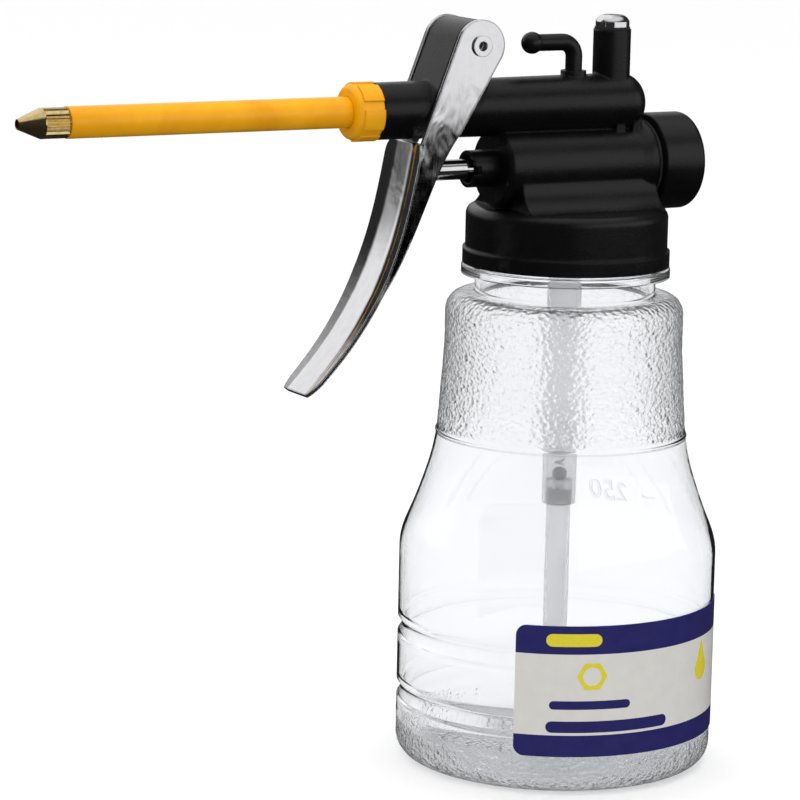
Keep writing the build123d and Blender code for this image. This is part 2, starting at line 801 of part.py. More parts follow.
collar_back = tube_front - seat_gap
collar_floor = nozzle_flange_front - seat_gap
collar_front = collar_floor - collar_wall
with BuildPart() as nozzle_collar:
    with BuildSketch(Plane.XZ):
        with BuildLine():
            Polyline(
                (collar_front + collar_round, tube_height + collar_radius),
                (collar_back, tube_height + collar_radius),
                (collar_back, tube_height + spigot_radius + running_gap),
                (collar_floor, tube_height + spigot_radius + running_gap),
                (collar_floor, tube_height + nozzle_radius + running_gap),
                (collar_front, tube_height + nozzle_radius + running_gap),
                (collar_front, tube_height + collar_radius - collar_round),
            )
            ThreePointArc(
                (collar_front, tube_height + collar_radius - collar_round),
                (
                    collar_front + collar_round * (1 - cos(pi / 4)),
                    tube_height + collar_radius - collar_round * (1 - sin(pi / 4)),
                ),
                (collar_front + collar_round, tube_height + collar_radius),
            )
        make_face()
    revolve(axis=along_x)
    for place in range(collar_pad_count):
        turn = 360 * place / collar_pad_count - collar_pad_angle / 2
        pad_plane = Plane(
            origin=(0, 0, tube_height),
            x_dir=(1, 0, 0),
            z_dir=(0, -cos(radians(turn)), sin(radians(turn))),
        )
        with BuildSketch(pad_plane):
            with Locations(((collar_front + collar_round + collar_back) / 2, collar_radius)):
                Rectangle(collar_back - collar_front - collar_round, 2 * collar_pad)
        revolve(axis=along_x, revolution_arc=collar_pad_angle)
save(nozzle_collar, "nozzle_collar")

# ================================================================ turned tip
knurl_front = nozzle_front - seat_gap - tip_knurl_length
tip_front = knurl_front - tip_cone_length
with BuildPart() as brass_tip:
    with BuildSketch(Plane.XZ):
        with BuildLine():
            Polyline(
                (tip_front, tube_height + tip_bore),
                (tip_front, tube_height + tip_end_radius),
                (knurl_front, tube_height + tip_radius),
                (nozzle_front - seat_gap, tube_height + tip_radius),
                (nozzle_front - seat_gap, tube_height + tip_spigot_radius),
                (nozzle_front + tip_spigot_length, tube_height + tip_spigot_radius),
                (nozzle_front + tip_spigot_length, tube_height + tip_feed_bore),
                (tip_front + tip_mouth_length, tube_height + tip_feed_bore),
                (tip_front + tip_mouth_length, tube_height + tip_bore),
                close=True,
            )
        make_face()
    revolve(axis=along_x)
    with BuildSketch(Plane.YZ.offset(knurl_front + knurl_margin)):
        with Locations((0, tube_height)):
            with PolarLocations(tip_radius, knurl_count):
                Rectangle(2 * knurl_depth, 2 * knurl_depth, rotation=45)
    extrude(amount=tip_knurl_length, mode=Mode.SUBTRACT)
save(brass_tip, "brass_tip")

# ================================================================ suction tubes and foot valve
with BuildPart() as valve_tube:
    with BuildSketch(Plane.XY.offset(valve_tube_low)):
        Circle(valve_tube_radius)
    extrude(amount=valve_tube_top - valve_tube_low)
    fillet(valve_tube.edges().group_by(Axis.Z)[0], radius=valve_tube_radius - valve_tube_bore - 0.1)
    with BuildSketch(Plane.XY.offset(valve_tube_low)):
        Circle(valve_tube_bore)
    extrude(amount=valve_tube_top - valve_tube_low, mode=Mode.SUBTRACT)
save(valve_tube, "valve_tube")

with BuildPart() as foot_valve_seat:
    with BuildSketch(Plane.XY.offset(valve_tube_low)):
        Circle(valve_tube_bore - seat_gap)
    extrude(amount=foot_seat_top - valve_tube_low)
    with BuildSketch(Plane.XY.offset(valve_tube_low)):
        Circle(suction_tube_radius + seat_gap)
    extrude(amount=suction_tube_top + seat_gap - valve_tube_low, mode=Mode.SUBTRACT)
    with BuildSketch(Plane.XY.offset(valve_tube_low)):
        Circle(foot_port_radius)
    extrude(amount=foot_seat_top - valve_tube_low, mode=Mode.SUBTRACT)
save(foot_valve_seat, "foot_valve_seat")

foot_ball_height = foot_seat_top + (foot_ball_radius**2 - foot_port_radius**2) ** 0.5 + seat_gap
with BuildPart() as foot_ball:
    with BuildSketch(Plane.XZ):
        with BuildLine():
            CenterArc((0, foot_ball_height), foot_ball_radius, -90, 180)
            Line((0, foot_ball_height + foot_ball_radius), (0, foot_ball_height - foot_ball_radius))
        make_face()
    revolve(axis=Axis.Z)
save(foot_ball, "foot_ball")

with BuildPart() as foot_spring:
    foot_spring_low = foot_ball_height + foot_ball_radius + foot_wire / 2 + seat_gap
    foot_spring_length = foot_spring_top - foot_wire / 2 - seat_gap - foot_spring_low
    with BuildLine() as foot_line:
        Helix(
            pitch=foot_spring_length / foot_turns,
            height=foot_spring_length,
            radius=foot_spring_radius,
            center=(0, 0, foot_spring_low),
        )
    with BuildSketch(Plane(origin=foot_line.line @ 0, z_dir=foot_line.line % 0)):
        Circle(foot_wire / 2)
    sweep(path=foot_line.line, is_frenet=True)
save(foot_spring, "foot_spring")

with BuildPart() as spring_stop:
    with BuildSketch(Plane.XY.offset(foot_spring_top)):
        Circle(valve_tube_bore - seat_gap)
        Circle(stop_bore, mode=Mode.SUBTRACT)
    extrude(amount=stop_thickness)
save(spring_stop, "spring_stop")

with BuildPart() as suction_tube:
    with BuildSketch(Plane.XY.offset(suction_tube_low)):
        Circle(suction_tube_radius)
        Circle(suction_tube_bore, mode=Mode.SUBTRACT)
    extrude(amount=suction_tube_top - suction_tube_low)
save(suction_tube, "suction_tube")

# ================================================================ lever and its pin
# The web is a strip of sheet on a curve that narrows to a rounded tip; the cheeks run from its
# upper half up to the eyes round the pin.
web_top_run = (-0.19, -0.98)
web_upper_knot = (pivot_x - 17.8, pivot_height - 38.3)
web_bend = (pivot_x - 25.9, pivot_height - 58.6)
web_bend_run = (-0.50, -0.86)
web_lower_knot = (pivot_x - 31.9, pivot_height - 67.6)
web_tip = (pivot_x - 41.6, pivot_height - 78.4)
web_tip_run = (-0.70, -0.72)
web_tip_half_width = 6.5
web_taper_start = pivot_height - 51.8
cheek_top = (pivot_x - 4.8, pivot_height - 19.6)
cheek_points = tuple(
    (pivot_x - run, pivot_height - drop)
    for run, drop in ((8.4, 24.8), (12.4, 33.1), (17.0, 43.6), (23.4, 55.0))
)
inner_half_width = lever_half_width - sheet


def upper_web():
    """Middle line of the web from its top edge to the bend."""
    return Spline(web_top, web_upper_knot, web_bend, tangents=[web_top_run, web_bend_run])


with BuildPart() as lever:
    with BuildSketch(Plane.XZ):
        with BuildLine():
            upper_web()
            Spline(web_bend, web_lower_knot, web_tip, tangents=[web_bend_run, web_tip_run])
        trace(line_width=sheet)
    extrude(amount=lever_half_width, both=True)
    with BuildSketch(Plane.YZ):
        with BuildLine():
            Polyline(
                (-lever_half_width, web_top[1] + sheet),
                (-lever_half_width, web_taper_start),
                (-web_tip_half_width, web_tip[1] - sheet),
                (web_tip_half_width, web_tip[1] - sheet),
                (lever_half_width, web_taper_start),
                (lever_half_width, web_top[1] + sheet),
                close=True,
            )
        blank = make_face()
        fillet(blank.vertices().group_by(Axis.Z)[0], radius=lever_corner)
    extrude(amount=lever_reach, both=True, mode=Mode.INTERSECT)
    for side in (-1, 1):
        with BuildSketch(Plane.XZ.offset(side * inner_half_width)):
            with BuildLine():
                eye_front = touch_point(eye, lever_eye_radius, arm_front, -1)
                eye_back = touch_point(eye, lever_eye_radius, cheek_top, 1)
                Polyline(web_top, arm_front, eye_front)
                ThreePointArc(eye_front, (pivot_x, pivot_height + lever_eye_radius), eye_back)
                Line(eye_back, cheek_top)
                Spline(cheek_top, *cheek_points)
                Line(cheek_points[-1], web_bend)
                upper_web()
            make_face()
            with Locations(eye):
                Circle(pin_radius + running_gap, mode=Mode.SUBTRACT)
        extrude(amount=side * sheet)
save(lever, "lever")

with BuildPart() as pivot_pin:
    pin_reach = lever_half_width + seat_gap
    with BuildSketch(Plane.XZ):
        with Locations(eye):
            Circle(pin_radius)
    extrude(amount=pin_reach, both=True)
    for side in (-1, 1):
        with BuildSketch(Plane.XZ.offset(side * pin_reach)):
            with Locations(eye):
                Circle(pin_head_radius)
        extrude(amount=side * pin_head_thickness)
        with BuildSketch(Plane.XZ.offset(side * (pin_reach + pin_head_thickness))):
            with Locations(eye):
                Circle(pin_socket_radius)
        extrude(amount=-side * pin_socket_depth, mode=Mode.SUBTRACT)
save(pivot_pin, "pivot_pin")
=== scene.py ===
"""Looks of a hand-held trigger oiler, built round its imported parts.

Every size is in metres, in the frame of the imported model: the origin is the middle of the
bottle's underside, +Z is up and the nozzle points along -X.
"""

import math

import bmesh
import bpy
from bpy.props import FloatProperty, FloatVectorProperty, IntProperty, PointerProperty
from bpy.types import Operator, Panel, PropertyGroup
from mathutils import Matrix, Vector, noise


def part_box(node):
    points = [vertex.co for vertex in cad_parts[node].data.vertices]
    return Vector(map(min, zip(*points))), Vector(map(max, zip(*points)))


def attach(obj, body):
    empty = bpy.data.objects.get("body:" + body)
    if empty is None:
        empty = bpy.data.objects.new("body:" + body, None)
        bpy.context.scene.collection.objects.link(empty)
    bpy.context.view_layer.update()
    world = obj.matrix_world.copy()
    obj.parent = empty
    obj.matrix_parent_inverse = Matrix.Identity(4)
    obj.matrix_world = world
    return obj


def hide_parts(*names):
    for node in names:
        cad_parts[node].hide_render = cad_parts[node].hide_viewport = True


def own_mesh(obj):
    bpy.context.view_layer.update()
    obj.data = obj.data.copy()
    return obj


bl_info = {
    "name": "Trigger Oiler",
    "version": (1, 0, 0),
    "blender": (4, 5, 0),
    "location": "3D View > Sidebar > Oiler",
    "description": "Gives a trigger oiler its moulded, plated and printed surfaces",
    "category": "Object",
}

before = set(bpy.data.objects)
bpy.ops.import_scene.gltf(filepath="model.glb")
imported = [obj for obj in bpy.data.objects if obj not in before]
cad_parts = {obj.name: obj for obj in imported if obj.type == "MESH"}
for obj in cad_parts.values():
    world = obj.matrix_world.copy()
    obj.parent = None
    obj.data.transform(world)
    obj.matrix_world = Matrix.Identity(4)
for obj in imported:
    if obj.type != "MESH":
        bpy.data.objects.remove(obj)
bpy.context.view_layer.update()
LABEL_LOW, LABEL_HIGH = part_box("bottle_label")
LEVER_HALF_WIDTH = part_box("lever")[1].y

FOOT_FADE = 0.003          # height over which the lower pebbled skin fades out
PEBBLED_RADIUS = 0.024     # only what is wider than this is pebbled, so the neck isn't
LETTER_SCALE = 1.35        # size of the lettering that gives digits of height 1
DIGIT_DEPTH = 0.00022      # how far the graduation stands up from its root
DIGIT_ROOT = 0.00005       # how far the graduation's root is sunk into the wall
DASH_PLACE = -0.0115       # middle of the graduation's dash, from the number's middle
DASH_HALF = 0.0022         # half of the dash's length
DASH_RISE = 0.00035        # half of the dash's height
DROP_PINCH = 0.55          # how far the printed drop narrows at its point
PRINT_EDGE = 0.0011        # longest edge of a printed mark's mesh
PRINT_GAP = 0.000004       # gap that keeps the ink off the film
FLOOR_DROP = 0.0002        # how far the floor is below the bottle
AIMED_AT = (0, 0, 0.10)    # point that the lights face
CARD_LEFT = (-0.10, -0.36)  # X and Y of the soft card's left edge
CARD_RIGHT = (0.42, -0.10)  # X and Y of the soft card's right edge
CARD_BOTTOM = 0.06
CARD_TOP = 0.34
LATHE_RINGS = 26000.0      # how close the lathe's rings are, in radians per metre


# ------------------------------------------------------------------ settings
def length(name, description, default, smallest=0.0, largest=1.0):
    """A size in metres that the user may change."""
    return FloatProperty(
        name=name,
        description=description,
        default=default,
        min=smallest,
        max=largest,
        precision=5,
        subtype="DISTANCE",
        unit="LENGTH",
    )


def share(name, description, default):
    """A number from 0 to 1."""
    return FloatProperty(
        name=name, description=description, default=default, min=0.0, max=1.0, subtype="FACTOR"
    )


def angle(name, description, default):
    """An angle, with its default in degrees."""
    return FloatProperty(
        name=name, description=description, default=math.radians(default), subtype="ANGLE", unit="ROTATION"
    )


def colour(name, description, default):
    """A linear colour."""
    return FloatVectorProperty(
        name=name, description=description, default=default, size=3, min=0.0, max=1.0, subtype="COLOR"
    )


class OilerBottleSettings(PropertyGroup):
    """Sizes and colours of the clear bottle and of what shows inside it."""

    tint: colour("Plastic tint", "Colour of light through the clear plastic", (0.930, 0.937, 0.952))
    tube_colour: colour("Tube colour", "Colour of the milky tubes inside", (0.97, 0.975, 0.98))
    row_spacing: length("Row spacing", "Height of one row of the outside's mesh", 0.0006, 0.0002, 0.01)
    inside_spacing: length(
        "Inside row spacing", "Height of one row of the inside's mesh", 0.0022, 0.0005, 0.02
    )
    columns: IntProperty(name="Columns", description="Faces round the bottle", default=264, min=48, max=720)
    stipple_depth: length("Stipple depth", "How far the pebbled skin stands up", 0.00014, 0.0, 0.001)
    stipple_width: length("Stipple width", "Width of one pebble", 0.0017, 0.0003, 0.01)
    stipple_low: length("Stipple start", "Height at which the upper pebbled skin starts", 0.0792, 0.0, 0.2)
    stipple_high: length("Stipple end", "Height at which the upper pebbled skin ends", 0.1095, 0.0, 0.2)
    foot_stipple_high: length(
        "Foot stipple end", "Height at which the lower pebbled skin ends", 0.0100, 0.0, 0.2
    )
    digit_height: length("Digit height", "Height of the raised graduation", 0.0052, 0.001, 0.02)
    digit_low: length("Digit place", "Height of the raised graduation's middle", 0.0577, 0.0, 0.2)
    digit_angle: angle(
        "Digit angle", "Angle of the graduation round the bottle, from the front towards the back", 128.0
    )


class OilerLabelSettings(PropertyGroup):
    """Sizes and colours of the printed label."""

    band_colour: colour("Band", "Colour of the two dark bands", (0.018, 0.016, 0.150))
    panel_colour: colour("Panel", "Colour of the pale panel", (0.80, 0.78, 0.74))
    accent_colour: colour("Accent", "Colour of the bright marks", (0.86, 0.74, 0.03))
    top_band: share("Top band", "Share of the height that the top band takes", 0.215)
    bottom_band: share("Bottom band", "Share of the height that the bottom band takes", 0.165)
    ink_thickness: length(
        "Ink thickness", "How far the printed marks stand off the film", 0.00003, 0.0, 0.001
    )


class OilerPlasticSettings(PropertyGroup):
    """Colours and grain of the moulded pump head and nozzle."""

    black: colour("Black", "Colour of the pump head", (0.0035, 0.0035, 0.0042))
    yellow: colour("Yellow", "Colour of the nozzle and its collar", (0.96, 0.41, 0.0))
    seal: colour("Seal", "Colour of the rubber seals", (0.012, 0.012, 0.012))
    grain_width: length("Grain width", "Width of one grain of the moulded skin", 0.00035, 0.00005, 0.01)
    grain_depth: length("Grain depth", "Depth of the moulded skin's grain", 0.00003, 0.0, 0.001)
    edge_radius: length("Edge radius", "Softness of the moulded edges", 0.00035, 0.0, 0.003)
    blend_radius: length(
        "Blend radius", "Softness of the edges where the head's shapes run together", 0.0009, 0.0, 0.004
    )


class OilerMetalSettings(PropertyGroup):
    """Colours and finish of the plated, turned and drawn metal."""

    chrome: colour("Chrome", "Colour of the plated lever, rod and screw", (0.80, 0.80, 0.815))
    brass: colour("Brass", "Colour of the turned tip", (0.83, 0.63, 0.30))
    steel: colour("Steel", "Colour of springs, balls and nut", (0.42, 0.42, 0.43))
    dent_width: length("Dent width", "Width of the shallow waves in the pressed sheet", 0.0045, 0.0005, 0.05)
    dent_depth: length("Dent depth", "Depth of the shallow waves in the pressed sheet", 0.00012, 0.0, 0.001)
    edge_radius: length("Edge radius", "Softness of the metal's edges", 0.00022, 0.0, 0.003)
    bend_radius: length("Bend radius", "Outside radius of the lever's pressed bends", 0.0007, 0.0, 0.003)
    return_travel: length(
        "Return travel", "How far the plunger shortens the return spring", 0.0106, 0.0, 0.03
    )
    foot_travel: length("Foot travel", "How far the foot ball shortens its spring", 0.0016, 0.0, 0.01)
    outlet_travel: length("Outlet travel", "How far the outlet ball shortens its spring", 0.0015, 0.0, 0.01)
    crown: length(
        "Crown", "How far in from its edges the lever's web starts to curve back", 0.0055, 0.0, 0.008
    )


class OilerStageSettings(PropertyGroup):
    """Camera, lights and floor."""

    floor_colour: colour("Floor", "Colour of the plain floor", (0.99, 0.99, 0.99))
    floor_size: length("Floor size", "Width of the plain floor", 12.0, 1.0, 40.0)
    look_at: FloatVectorProperty(
        name="Look at",
        description="Point in the middle of the picture",
        default=(-0.03375, 0.01770, 0.08519),
        size=3,
        subtype="TRANSLATION",
        unit="LENGTH",
    )
    azimuth: angle("Azimuth", "Angle of the camera round the object", -29.0)
    elevation: angle("Elevation", "Angle of the camera above the horizon", 10.403)
    roll: angle("Roll", "Turn of the camera about its own line of sight", 1.25)
    distance: length("Distance", "Distance from the camera to the point it looks at", 0.900, 0.2, 10.0)
    lens: FloatProperty(
        name="Lens", description="Focal length", default=171.76, min=10, max=500, subtype="DISTANCE_CAMERA"
    )
    key_power: FloatProperty(
        name="Key power",
        description="Power of the large front light",
        default=0.8,
        min=0,
        max=500,
        unit="POWER",
    )
    top_power: FloatProperty(
        name="Top power",
        description="Power of the light overhead",
        default=1.8,
        min=0,
        max=500,
        unit="POWER",
    )
    sky: FloatProperty(
        name="Surround", description="Brightness of the pale surround", default=1.02, min=0, max=5
    )
    card_glow: FloatProperty(
        name="Card glow", description="Brightness of the soft card in front", default=0.95, min=0, max=20
    )
    card_low: length("Card start", "Height at which the soft card starts to glow", 0.112, 0.0, 1.0)
    card_full: length("Card full", "Height at which the soft card glows fully", 0.132, 0.0, 1.0)


# ------------------------------------------------------------------ materials
class Recipe:
    """A material put together node by node on one Principled shader."""

    def __init__(self, name, **sockets):
        self.material = bpy.data.materials.new(name)
        self.material.use_nodes = True
        self.tree = self.material.node_tree
        self.shader = next(n for n in self.tree.nodes if n.type == "BSDF_PRINCIPLED")
        self.place = self.add("ShaderNodeTexCoord").outputs["Object"]
        for socket, value in sockets.items():
            self.shader.inputs[socket.replace("_", " ")].default_value = value

    def add(self, kind, inputs=(), **settings):
        """A new node; inputs maps a socket to a value or to the output that feeds it."""
        node = self.tree.nodes.new(kind)
        for key, value in settings.items():
            setattr(node, key, value)
        for key, value in dict(inputs).items():
            self.feed(node.inputs[key], value)
        return node

    def feed(self, socket, value):
        """Sets a socket to a value, or links the output that feeds it."""
        if isinstance(value, bpy.types.NodeSocket):
            self.tree.links.new(value, socket)
        else:
            socket.default_value = value

    def drive(self, name, value):
        """Feeds one input of the shader."""
        self.feed(self.shader.inputs[name], value)

    def stretched(self, x, y, z):
        """The place on the part, stretched along each axis."""
        return self.add("ShaderNodeMapping", {"Vector": self.place, "Scale": (x, y, z)}).outputs["Vector"]

    def cloud(self, width, detail=3.0, rough=0.5, distortion=0.0, place=None):
        """Soft noise whose patches are about width across."""
        inputs = {
            "Vector": place or self.place,
            "Scale": 1.0 / width,
            "Detail": detail,
            "Roughness": rough,
            "Distortion": distortion,
        }
        return self.add("ShaderNodeTexNoise", inputs).outputs["Fac"]

    def cells(self, width, place=None):
        """Distance to the middle of rounded cells of that width."""
        inputs = {"Vector": place or self.place, "Scale": 1.0 / width, "Smoothness": 0.6}
        return self.add("ShaderNodeTexVoronoi", inputs, feature="SMOOTH_F1").outputs["Distance"]

    def maths(self, operation, first, second=0.0, clamp=False):
        """One sum on one or two numbers."""
        node = self.add("ShaderNodeMath", {0: first, 1: second}, operation=operation, use_clamp=clamp)
        return node.outputs[0]

    def spread(self, value, low, high, to_low=0.0, to_high=1.0, smooth=False):
        """Value taken from the range low..high to to_low..to_high."""
        kind = "SMOOTHSTEP" if smooth else "LINEAR"
        inputs = {"Value": value, "From Min": low, "From Max": high, "To Min": to_low, "To Max": to_high}
        return self.add("ShaderNodeMapRange", inputs, interpolation_type=kind).outputs["Result"]

    def blend_colours(self, factor, first, second):
        """First colour where factor is 0, second where it is 1."""
        node = self.add("ShaderNodeMix", {0: factor}, data_type="RGBA")
        self.feed(node.inputs[6], first)
        self.feed(node.inputs[7], second)
        return node.outputs[2]

    def tones_of(self, rgb, factor, first, second):
        """A colour that goes from rgb times first, where factor is 0, to rgb times second."""
        return self.blend_colours(factor, opaque(shade(rgb, first)), opaque(shade(rgb, second)))

    def two_tone(self, rgb, factor, first, second):
        """Gives the shader a colour that varies between two of its tones."""
        self.drive("Base Color", self.tones_of(rgb, factor, first, second))

    def height_of(self, axis="Z"):
        """One coordinate of the place on the part."""
        return self.add("ShaderNodeSeparateXYZ", {"Vector": self.place}).outputs[axis]

    def soft_edges(self, radius):
        """Normal with the edges rounded off."""
        return self.add("ShaderNodeBevel", {"Radius": radius}, samples=4).outputs["Normal"]

    def relief(self, height, depth, strength=1.0, normal=None):
        """Normal of a skin that rises by depth where height is 1."""
        inputs = {"Height": height, "Distance": depth, "Strength": strength}
        if normal is not None:
            inputs["Normal"] = normal
        return self.add("ShaderNodeBump", inputs).outputs["Normal"]


def opaque(rgb):
    """A colour as a socket holds it."""
    return (*rgb, 1.0)


def shade(rgb, factor):
    """A colour made lighter or darker."""
    return tuple(min(1.0, part * factor) for part in rgb)


def clear_plastic(name, settings, pebbled):
    """Blown clear plastic: polished, faintly wavy, and pebbled in the two skins that carry a stipple."""
    recipe = Recipe(name, Base_Color=opaque(settings.tint), Transmission_Weight=1.0, IOR=1.45)
    flow = recipe.cloud(0.016, detail=1.0, distortion=0.4, place=recipe.stretched(1.0, 1.0, 0.35))
    waves = recipe.relief(flow, 0.0008, 0.35)
    if not pebbled:
        recipe.drive("Roughness", recipe.spread(recipe.cloud(0.02), 0.3, 0.7, 0.01, 0.03))
        recipe.drive("Normal", waves)
        return recipe.material
    height = recipe.height_of()
    start = recipe.spread(height, settings.stipple_low, settings.stipple_low + 0.0012, smooth=True)
    end = recipe.spread(height, settings.stipple_high, settings.stipple_high + 0.002, 1.0, 0.0, smooth=True)
    foot_end = settings.foot_stipple_high
    foot = recipe.spread(height, foot_end - FOOT_FADE, foot_end, 1.0, 0.0, smooth=True)
    zone = recipe.maths("ADD", recipe.maths("MULTIPLY", start, end), foot, clamp=True)
    place = recipe.stretched(1.0, 1.0, 1.4)
    coarse = recipe.cells(settings.stipple_width * 0.7, place)
    pebbles = recipe.maths("ADD", coarse, recipe.cloud(0.0009, 4.0, place=place))
    haze = recipe.maths("MULTIPLY", zone, recipe.cloud(0.004))
    recipe.drive("Roughness", recipe.spread(haze, 0.0, 0.6, 0.012, 0.07))
    recipe.drive("Normal", recipe.relief(recipe.maths("MULTIPLY", pebbles, zone), 0.00022, 1.0, waves))
    return recipe.material


def milky_plastic(name, settings):
    """Drawn translucent tube: cloudy, with faint lines along it."""
    recipe = Recipe(name, IOR=1.42, Transmission_Weight=0.85, Roughness=0.22)
    lines = recipe.cloud(0.0006, 2.0, place=recipe.stretched(1.0, 1.0, 0.03))
    clouds = recipe.cloud(0.006, 3.0)
    tones = recipe.spread(recipe.maths("ADD", lines, clouds), 0.7, 1.3)
    recipe.two_tone(settings.tube_colour, tones, 0.93, 1.0)
    recipe.drive("Normal", recipe.relief(lines, 0.00006, 0.6))
    return recipe.material


def satin_moulding(name, rgb, settings, gloss, edge_radius, shine=0.5, glow=0.0):
    """Moulded plastic with a fine even grain, faint flow marks and softened edges."""
    recipe = Recipe(name, IOR=1.5, Specular_IOR_Level=shine)
    if glow:
        recipe.shader.inputs["Subsurface Weight"].default_value = glow
        recipe.shader.inputs["Subsurface Radius"].default_value = (0.0022, 0.0011, 0.0003)
        recipe.shader.inputs["Subsurface Scale"].default_value = 1.0
    grain = recipe.cells(settings.grain_width)
    fine = recipe.cloud(settings.grain_width * 0.45, 3.0, 0.6)
    flow = recipe.cloud(0.011, 3.0, 0.55, 0.5)
    recipe.two_tone(rgb, recipe.spread(flow, 0.3, 0.7), 0.88, 1.1)
    smear = recipe.maths("ADD", recipe.maths("MULTIPLY", fine, 0.35), recipe.maths("MULTIPLY", flow, 0.65))
    recipe.drive("Roughness", recipe.spread(smear, 0.3, 0.7, gloss - 0.07, gloss + 0.07))
    skin = recipe.maths("ADD", grain, fine)
    recipe.drive("Normal", recipe.relief(skin, settings.grain_depth, 0.8, recipe.soft_edges(edge_radius)))
    return recipe.material


def rubber(name, settings):
    """Dull black rubber with a powdery bloom."""
    recipe = Recipe(name, Specular_IOR_Level=0.35)
    bloom = recipe.cloud(0.0012, 4.0, 0.65)
    recipe.two_tone(settings.seal, recipe.spread(bloom, 0.45, 0.75), 1.0, 2.4)
    recipe.drive("Roughness", recipe.spread(bloom, 0.3, 0.7, 0.62, 0.82))
    recipe.drive("Normal", recipe.relief(recipe.cloud(0.0003, 3.0), 0.00003, 0.8))
    return recipe.material


def bright_plate(name, settings, dents, edge_radius, lengthways=(1.0, 1.0, 1.0), crown=0.0):
    """Chrome over pressed steel: a mirror with shallow waves, hairlines and a few dull spots.

    A crown curves what faces along X back towards the edges, over that distance.
    """
    recipe = Recipe(name, Metallic=1.0)
    place = recipe.stretched(*lengthways)
    waves = recipe.cloud(settings.dent_width, 2.0, 0.45, 0.6, place)
    hairs = recipe.cloud(0.0009, 5.0, 0.7, place=recipe.stretched(1.0, 1.0, 0.08))
    spots = recipe.cloud(0.0022, 4.0, 0.6)
    recipe.two_tone(settings.chrome, recipe.spread(spots, 0.25, 0.75), 0.90, 1.0)
    recipe.drive("Roughness", recipe.spread(recipe.maths("MULTIPLY", hairs, spots), 0.12, 0.42, 0.035, 0.15))
    base = recipe.relief(waves, settings.dent_depth * dents, 1.0, recipe.soft_edges(edge_radius))
    if crown:
        sideways = recipe.maths("ABSOLUTE", recipe.height_of("Y"))
        outward = recipe.spread(sideways, LEVER_HALF_WIDTH - crown, LEVER_HALF_WIDTH)
        fall = recipe.maths("SUBTRACT", 1.0, recipe.maths("MULTIPLY", outward, outward))
        base = recipe.relief(fall, crown / 2, 1.0, base)
    recipe.drive("Normal", recipe.relief(hairs, 0.000006, 0.6, base))
    return recipe.material


def turned_brass(name, settings):
    """Polished brass with the fine rings that a lathe leaves round its axis."""
    recipe = Recipe(name, Metallic=1.0)
    along = recipe.height_of("X")
    rings = recipe.maths("SINE", recipe.maths("MULTIPLY", along, LATHE_RINGS))
    uneven = recipe.cloud(0.0012, 4.0, 0.6)
    recipe.two_tone(settings.brass, recipe.spread(uneven, 0.35, 0.8), 1.0, 0.72)
    recipe.drive("Roughness", recipe.spread(uneven, 0.25, 0.8, 0.10, 0.24))
    recipe.drive("Normal", recipe.relief(rings, 0.000004, 0.5, recipe.soft_edges(settings.edge_radius * 0.5)))
    return recipe.material


def drawn_steel(name, settings, dark=1.0):
    """Drawn wire and ground steel with fine scratches."""
    recipe = Recipe(name, Metallic=1.0)
    scratches = recipe.cloud(0.0004, 5.0, 0.7)
    recipe.two_tone(settings.steel, scratches, 0.75 * dark, 1.15 * dark)
    recipe.drive("Roughness", recipe.spread(scratches, 0.3, 0.7, 0.16, 0.34))
    recipe.drive("Normal", recipe.relief(scratches, 0.00001, 0.5))
    return recipe.material


def white_moulding(name):
    """Hard white piston plastic."""
    recipe = Recipe(name, IOR=1.48)
    mottle = recipe.cloud(0.002, 4.0)
    recipe.drive("Base Color", recipe.blend_colours(mottle, (0.72, 0.72, 0.69, 1.0), (0.84, 0.84, 0.82, 1.0)))
    recipe.drive("Roughness", recipe.spread(mottle, 0.3, 0.7, 0.35, 0.5))
    recipe.drive("Normal", recipe.relief(recipe.cloud(0.0005), 0.00002, 0.6))
    return recipe.material


def printed_film(name, settings):
    """Pale film with a dark band along its top and along its bottom, and the slight mottle of print."""
    recipe = Recipe(name, IOR=1.5, Coat_Weight=0.35, Coat_Roughness=0.12)
    share_up = recipe.spread(recipe.height_of(), LABEL_LOW.z, LABEL_HIGH.z)
    top = recipe.maths("GREATER_THAN", share_up, 1.0 - settings.top_band)
    bottom = recipe.maths("LESS_THAN", share_up, settings.bottom_band)
    mottle = recipe.cloud(0.0035, 5.0, 0.6)
    panel = recipe.tones_of(settings.panel_colour, mottle, 0.93, 1.07)
    band = recipe.tones_of(settings.band_colour, mottle, 0.85, 1.2)
    in_band = recipe.maths("ADD", top, bottom, clamp=True)
    recipe.drive("Base Color", recipe.blend_colours(in_band, panel, band))
    recipe.drive("Roughness", recipe.spread(mottle, 0.3, 0.7, 0.30, 0.44))
    recipe.drive("Normal", recipe.relief(recipe.cloud(0.006, 2.0), 0.0001, 0.35))
    return recipe.material


def ink(name, rgb):
    """Printed ink with a slight mottle."""
    recipe = Recipe(name, IOR=1.5, Coat_Weight=0.3, Coat_Roughness=0.15)
    mottle = recipe.cloud(0.0012, 4.0, 0.6)
    recipe.two_tone(rgb, mottle, 0.88, 1.1)
    recipe.drive("Roughness", recipe.spread(mottle, 0.3, 0.7, 0.32, 0.45))
    recipe.drive("Normal", recipe.relief(recipe.cloud(0.0004), 0.00001, 0.5))
    return recipe.material


def plain_floor(name, settings):
    """Pale matt paper."""
    recipe = Recipe(name, Roughness=0.85, Specular_IOR_Level=0.2)
    fibres = recipe.cloud(0.02, 4.0, 0.6)
    recipe.two_tone(settings.floor_colour, fibres, 0.995, 1.0)
    return recipe.material


def finish_nodes(material, *names):
    """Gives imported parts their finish."""
    for name in names:
        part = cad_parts[name]
        part.data.materials.clear()
        part.data.materials.append(material)


